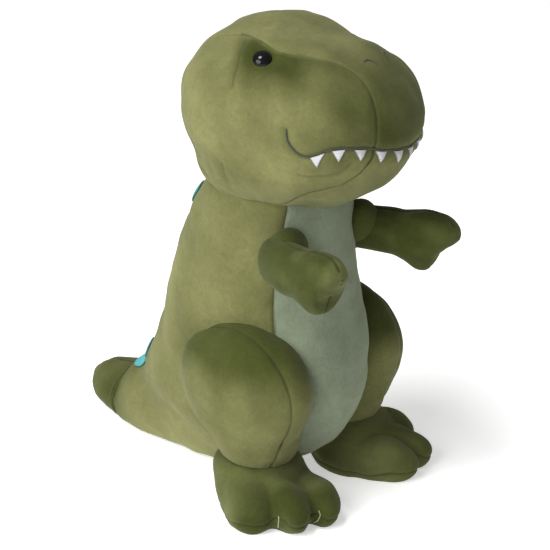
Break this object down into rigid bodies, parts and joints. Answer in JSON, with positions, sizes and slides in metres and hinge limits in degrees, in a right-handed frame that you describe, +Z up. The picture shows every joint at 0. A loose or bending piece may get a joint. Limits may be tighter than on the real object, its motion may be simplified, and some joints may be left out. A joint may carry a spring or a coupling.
{
  "type": "stuffed dinosaur",
  "caption": "Sitting plush dinosaur with a big round head, embroidered toothy smile, outstretched arms, splayed feet and a stubby tail.",
  "frame": {"origin": "middle of the bounding box's base, on the surface the toy sits on", "axes": "+Z up; the face points along -Y and the tail along +Y; +X is the toy's own left"},
  "size_m": [0.1332, 0.208, 0.2397],
  "materials": {
    "plush": "short-pile olive green velour",
    "belly": "short-pile pale grey-green velour",
    "spot": "teal velour patches",
    "tooth": "white satin stitch",
    "mouth": "dark green embroidery thread",
    "thread": "light green sewing thread",
    "eye": "glossy black",
    "washer": "moulded natural",
    "stuffing": "white polyester fibre",
    "pouch": "undyed cotton bag of beads"
  },
  "bodies": {
    "torso": {"belly_panel": "belly", "base_panel": "plush", "body_side_panel_right": "plush", "body_side_panel_left": "plush", "body_stuffing": "stuffing", "pellet_pouch": "pouch", "back_spot_1": "spot", "back_spot_2": "spot", "back_spot_3": "spot", "back_spot_4": "spot", "back_spot_5": "spot", "back_spot_6": "spot", "back_spot_7": "spot"},
    "head": {"head_center_panel": "plush", "head_side_panel_right": "plush", "head_side_panel_left": "plush", "head_stuffing": "stuffing", "eye_right": "eye", "eye_left": "eye", "eye_washer_right": "washer", "eye_washer_left": "washer", "nostril_right": "mouth", "nostril_left": "mouth", "mouth_line": "mouth", "tooth_1": "tooth", "tooth_2": "tooth", "tooth_3": "tooth", "tooth_4": "tooth", "tooth_5": "tooth", "tooth_6": "tooth", "tooth_7": "tooth", "tooth_8": "tooth", "tooth_9": "tooth", "tooth_10": "tooth", "tooth_11": "tooth"},
    "tail": {"tail_panel_right": "plush", "tail_panel_left": "plush", "tail_stuffing": "stuffing"},
    "arm_right": {"arm_outer_panel_right": "plush", "arm_inner_panel_right": "plush", "arm_stuffing_right": "stuffing"},
    "arm_left": {"arm_outer_panel_left": "plush", "arm_inner_panel_left": "plush", "arm_stuffing_left": "stuffing"},
    "leg_right": {"thigh_outer_panel_right": "plush", "thigh_inner_panel_right": "plush", "thigh_stuffing_right": "stuffing"},
    "leg_left": {"thigh_outer_panel_left": "plush", "thigh_inner_panel_left": "plush", "thigh_stuffing_left": "stuffing"},
    "foot_right": {"foot_upper_right": "plush", "foot_sole_right": "plush", "foot_stuffing_right": "stuffing", "toe_stitch_1_right": "thread", "toe_stitch_2_right": "thread"},
    "foot_left": {"foot_upper_left": "plush", "foot_sole_left": "plush", "foot_stuffing_left": "stuffing", "toe_stitch_1_left": "thread", "toe_stitch_2_left": "thread"}
  },
  "joints": [
    {"name": "head_nod", "type": "hinge", "parent": "torso", "child": "head", "pos_m": [0, -0.0279, 0.1562], "axis": [1, 0, 0], "range_deg": [-7, 7], "stiffness_Nm_per_rad": 3},
    {"name": "arm_swing_right", "type": "hinge", "parent": "torso", "child": "arm_right", "pos_m": [-0.036, -0.0614, 0.1317], "axis": [1, 0, 0], "range_deg": [-20, 20], "stiffness_Nm_per_rad": 0.3},
    {"name": "arm_swing_left", "type": "hinge", "parent": "torso", "child": "arm_left", "pos_m": [0.036, -0.0614, 0.1317], "axis": [1, 0, 0], "range_deg": [-20, 20], "stiffness_Nm_per_rad": 0.3},
    {"name": "hip_swing_right", "type": "hinge", "parent": "torso", "child": "leg_right", "pos_m": [-0.036, -0.0364, 0.0625], "axis": [1, 0, 0], "range_deg": [-4, 4], "stiffness_Nm_per_rad": 5},
    {"name": "hip_swing_left", "type": "hinge", "parent": "torso", "child": "leg_left", "pos_m": [0.036, -0.0364, 0.0625], "axis": [1, 0, 0], "range_deg": [-4, 4], "stiffness_Nm_per_rad": 5},
    {"name": "ankle_flex_right", "type": "hinge", "parent": "leg_right", "child": "foot_right", "pos_m": [-0.033, -0.0419, 0.0261], "axis": [1, 0, 0], "range_deg": [-5, 5], "stiffness_Nm_per_rad": 2},
    {"name": "ankle_flex_left", "type": "hinge", "parent": "leg_left", "child": "foot_left", "pos_m": [0.033, -0.0419, 0.0261], "axis": [1, 0, 0], "range_deg": [-5, 5], "stiffness_Nm_per_rad": 2},
    {"name": "tail_lift", "type": "hinge", "parent": "torso", "child": "tail", "pos_m": [0, 0.0746, 0.016], "axis": [1, 0, 0], "range_deg": [0, 12], "stiffness_Nm_per_rad": 1}
  ]
}
